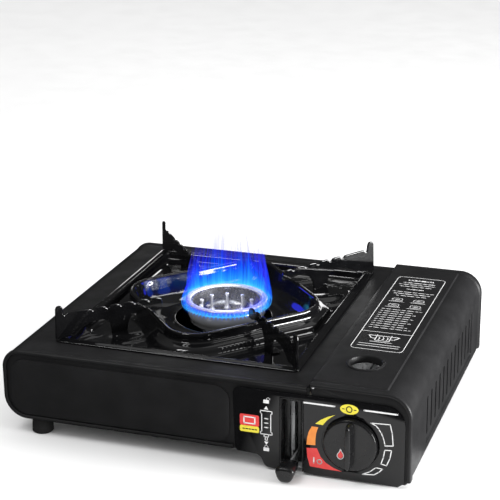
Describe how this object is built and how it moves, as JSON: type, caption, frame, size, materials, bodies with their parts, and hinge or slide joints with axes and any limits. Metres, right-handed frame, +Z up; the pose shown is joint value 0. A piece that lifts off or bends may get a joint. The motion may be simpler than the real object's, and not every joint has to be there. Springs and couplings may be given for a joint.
{
  "type": "camping stove",
  "caption": "Flat portable gas stove: ring burner in an enamelled drip pan with pan supports, hinged cartridge bay cover, turning control knob and cartridge locking lever.",
  "frame": {"origin": "centre of the bounding box at the level of the feet's undersides", "axes": "+X to the cartridge bay's side, +Y to the back, away from the controls, +Z up"},
  "size_m": [0.343, 0.307, 0.105],
  "materials": {
    "powder_coat": "matt black fine-textured powder coat on sheet steel",
    "enamel": "glossy black vitreous enamel on sheet steel",
    "fascia": "glossy black control plate with printed symbols",
    "black_plastic": "semi-gloss moulded black plastic",
    "rubber": "matt black rubber",
    "zinc_steel": "zinc-plated sheet steel",
    "bright_steel": "bright plated steel",
    "cast_aluminium": "die-cast aluminium, satin",
    "brass": "turned brass",
    "ceramic": "glazed white ceramic",
    "lead_insulation": "pale silicone insulation"
  },
  "bodies": {
    "body": {"housing_wrap": "powder_coat", "front_panel": "powder_coat", "rear_panel": "powder_coat", "bay_tray": "zinc_steel", "bay_partition": "zinc_steel", "control_fascia": "fascia", "lever_guide": "black_plastic", "foot_front_left": "rubber", "foot_rear_left": "rubber", "foot_front_right": "rubber", "foot_rear_right": "rubber", "rear_screw_1": "zinc_steel", "rear_screw_2": "zinc_steel", "rear_screw_3": "zinc_steel", "rear_screw_4": "zinc_steel", "burner_casting": "cast_aluminium", "burner_flame_ring": "bright_steel", "burner_inner_cup": "zinc_steel", "burner_screw": "brass", "burner_bracket": "zinc_steel", "mixing_tube": "zinc_steel", "regulator_body": "cast_aluminium", "regulator_cap": "cast_aluminium", "inlet_seal": "rubber", "regulator_bracket": "zinc_steel", "gas_nozzle": "brass", "piezo_igniter": "black_plastic", "electrode_insulator": "ceramic", "electrode_pin": "bright_steel", "ignition_lead": "lead_insulation", "cartridge_guide": "zinc_steel", "lever_bracket": "zinc_steel", "lever_pivot_pin": "bright_steel", "hinge_pin_front": "bright_steel", "hinge_pin_rear": "bright_steel"},
    "pan": {"drip_pan": "enamel", "pan_support_front_left": "enamel", "pan_support_front_right": "enamel", "pan_support_rear_left": "enamel", "pan_support_rear_right": "enamel"},
    "lid": {"cartridge_lid": "powder_coat"},
    "knob": {"control_knob": "black_plastic", "valve_stem": "brass", "igniter_cam": "black_plastic"},
    "lever": {"lever_arm": "zinc_steel", "lever_knob": "black_plastic"},
    "carriage": {"cartridge_pusher": "zinc_steel"}
  },
  "joints": [
    {"name": "pan_lift", "type": "slide", "parent": "body", "child": "pan", "axis": [0, 0, 1], "range_m": [0, 0.04]},
    {"name": "lid_hinge", "type": "hinge", "parent": "body", "child": "lid", "pos_m": [0.0931, 0, 0.0746], "axis": [0, -1, 0], "range_deg": [0, 100]},
    {"name": "knob_turn", "type": "hinge", "parent": "body", "child": "knob", "pos_m": [0.1239, -0.1335, 0.0321], "axis": [0, -1, 0], "range_deg": [0, 130]},
    {"name": "lever_swing", "type": "hinge", "parent": "body", "child": "lever", "pos_m": [0.0766, -0.0385, 0.012], "axis": [-1, 0, 0], "range_deg": [0, 24]},
    {"name": "carriage_slide", "type": "slide", "parent": "body", "child": "carriage", "axis": [0, 1, 0], "range_m": [0, 0.006]}
  ],
  "couplings": [
    {"joint": "carriage_slide", "follows": "lever_swing", "m_per_rad": 0.0143}
  ]
}
